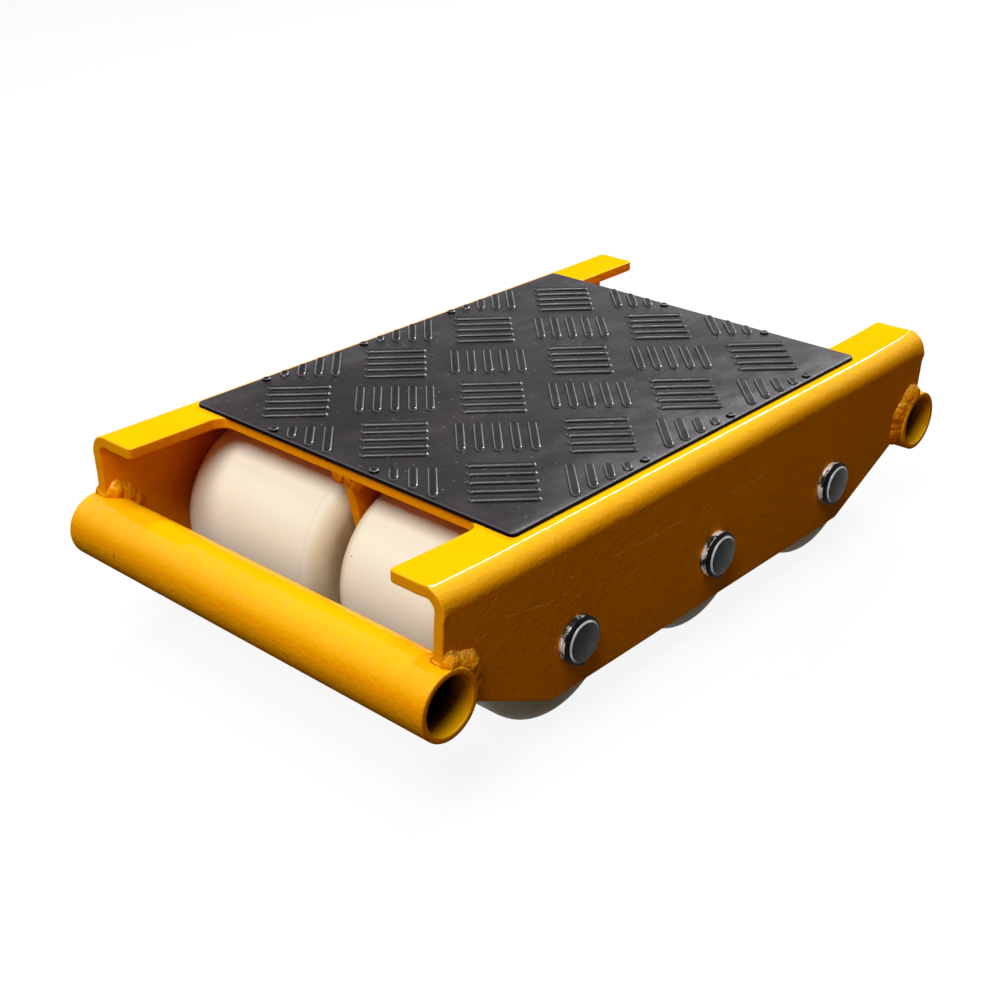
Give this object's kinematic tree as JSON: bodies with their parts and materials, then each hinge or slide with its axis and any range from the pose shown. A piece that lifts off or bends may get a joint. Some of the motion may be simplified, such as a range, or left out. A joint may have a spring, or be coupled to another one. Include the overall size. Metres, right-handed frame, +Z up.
{
  "type": "machine skate",
  "caption": "Low machine skate: folded plate frame with a ribbed rubber deck pad, wide nylon rollers on cross axles and a welded cross tube at each end, for rolling heavy loads.",
  "frame": {"origin": "on the floor under the middle of the skate, where the rollers stand", "axes": "+X to the front end, +Y to the left side plate, +Z up"},
  "size_m": [0.4, 0.2314, 0.1032],
  "materials": {
    "yellow_paint": "glossy chrome yellow paint with slight orange peel",
    "deck_rubber": "matt charcoal rubber with scuffs",
    "nylon": "cream cast nylon, satin",
    "axle_steel": "dark turned steel with a bright chamfer",
    "zinc_washer": "zinc plated",
    "black_spring_steel": "phosphated black",
    "bearing_steel": "ground bearing steel",
    "seal_rubber": "black moulded rubber",
    "cage_plastic": "moulded polyamide"
  },
  "bodies": {
    "frame": {"deck_channel": "yellow_paint", "centre_web": "yellow_paint", "web_welds": "yellow_paint", "front_tube": "yellow_paint", "rear_tube": "yellow_paint", "front_tube_welds": "yellow_paint", "rear_tube_welds": "yellow_paint", "rubber_pad": "deck_rubber", "front_axle": "axle_steel", "middle_axle": "axle_steel", "rear_axle": "axle_steel", "axle_washers": "zinc_washer", "axle_circlips": "black_spring_steel", "roller_spacers": "bearing_steel", "front_left_inner_rings": "bearing_steel", "front_left_sleeve": "bearing_steel", "front_right_inner_rings": "bearing_steel", "front_right_sleeve": "bearing_steel", "middle_left_inner_rings": "bearing_steel", "middle_left_sleeve": "bearing_steel", "middle_right_inner_rings": "bearing_steel", "middle_right_sleeve": "bearing_steel", "rear_left_inner_rings": "bearing_steel", "rear_left_sleeve": "bearing_steel", "rear_right_inner_rings": "bearing_steel", "rear_right_sleeve": "bearing_steel"},
    "front_left_roller_set": {"front_left_roller": "nylon", "front_left_outer_rings": "bearing_steel", "front_left_seals": "seal_rubber"},
    "front_left_ball_set": {"front_left_balls": "bearing_steel", "front_left_cages": "cage_plastic"},
    "front_right_roller_set": {"front_right_roller": "nylon", "front_right_outer_rings": "bearing_steel", "front_right_seals": "seal_rubber"},
    "front_right_ball_set": {"front_right_balls": "bearing_steel", "front_right_cages": "cage_plastic"},
    "middle_left_roller_set": {"middle_left_roller": "nylon", "middle_left_outer_rings": "bearing_steel", "middle_left_seals": "seal_rubber"},
    "middle_left_ball_set": {"middle_left_balls": "bearing_steel", "middle_left_cages": "cage_plastic"},
    "middle_right_roller_set": {"middle_right_roller": "nylon", "middle_right_outer_rings": "bearing_steel", "middle_right_seals": "seal_rubber"},
    "middle_right_ball_set": {"middle_right_balls": "bearing_steel", "middle_right_cages": "cage_plastic"},
    "rear_left_roller_set": {"rear_left_roller": "nylon", "rear_left_outer_rings": "bearing_steel", "rear_left_seals": "seal_rubber"},
    "rear_left_ball_set": {"rear_left_balls": "bearing_steel", "rear_left_cages": "cage_plastic"},
    "rear_right_roller_set": {"rear_right_roller": "nylon", "rear_right_outer_rings": "bearing_steel", "rear_right_seals": "seal_rubber"},
    "rear_right_ball_set": {"rear_right_balls": "bearing_steel", "rear_right_cages": "cage_plastic"}
  },
  "joints": [
    {"name": "front_left_roller_spin", "type": "hinge", "parent": "frame", "child": "front_left_roller_set", "pos_m": [0.102, 0.05365, 0.044], "axis": [0, 1, 0], "continuous": true},
    {"name": "front_left_ball_spin", "type": "hinge", "parent": "frame", "child": "front_left_ball_set", "pos_m": [0.102, 0.05365, 0.044], "axis": [0, 1, 0], "continuous": true},
    {"name": "front_right_roller_spin", "type": "hinge", "parent": "frame", "child": "front_right_roller_set", "pos_m": [0.102, -0.05365, 0.044], "axis": [0, 1, 0], "continuous": true},
    {"name": "front_right_ball_spin", "type": "hinge", "parent": "frame", "child": "front_right_ball_set", "pos_m": [0.102, -0.05365, 0.044], "axis": [0, 1, 0], "continuous": true},
    {"name": "middle_left_roller_spin", "type": "hinge", "parent": "frame", "child": "middle_left_roller_set", "pos_m": [0, 0.05365, 0.044], "axis": [0, 1, 0], "continuous": true},
    {"name": "middle_left_ball_spin", "type": "hinge", "parent": "frame", "child": "middle_left_ball_set", "pos_m": [0, 0.05365, 0.044], "axis": [0, 1, 0], "continuous": true},
    {"name": "middle_right_roller_spin", "type": "hinge", "parent": "frame", "child": "middle_right_roller_set", "pos_m": [0, -0.05365, 0.044], "axis": [0, 1, 0], "continuous": true},
    {"name": "middle_right_ball_spin", "type": "hinge", "parent": "frame", "child": "middle_right_ball_set", "pos_m": [0, -0.05365, 0.044], "axis": [0, 1, 0], "continuous": true},
    {"name": "rear_left_roller_spin", "type": "hinge", "parent": "frame", "child": "rear_left_roller_set", "pos_m": [-0.102, 0.05365, 0.044], "axis": [0, 1, 0], "continuous": true},
    {"name": "rear_left_ball_spin", "type": "hinge", "parent": "frame", "child": "rear_left_ball_set", "pos_m": [-0.102, 0.05365, 0.044], "axis": [0, 1, 0], "continuous": true},
    {"name": "rear_right_roller_spin", "type": "hinge", "parent": "frame", "child": "rear_right_roller_set", "pos_m": [-0.102, -0.05365, 0.044], "axis": [0, 1, 0], "continuous": true},
    {"name": "rear_right_ball_spin", "type": "hinge", "parent": "frame", "child": "rear_right_ball_set", "pos_m": [-0.102, -0.05365, 0.044], "axis": [0, 1, 0], "continuous": true}
  ],
  "couplings": [
    {"joint": "front_left_ball_spin", "follows": "front_left_roller_spin", "ratio": 0.61848},
    {"joint": "front_right_ball_spin", "follows": "front_right_roller_spin", "ratio": 0.61848},
    {"joint": "middle_left_ball_spin", "follows": "middle_left_roller_spin", "ratio": 0.61848},
    {"joint": "middle_right_ball_spin", "follows": "middle_right_roller_spin", "ratio": 0.61848},
    {"joint": "rear_left_ball_spin", "follows": "rear_left_roller_spin", "ratio": 0.61848},
    {"joint": "rear_right_ball_spin", "follows": "rear_right_roller_spin", "ratio": 0.61848}
  ]
}
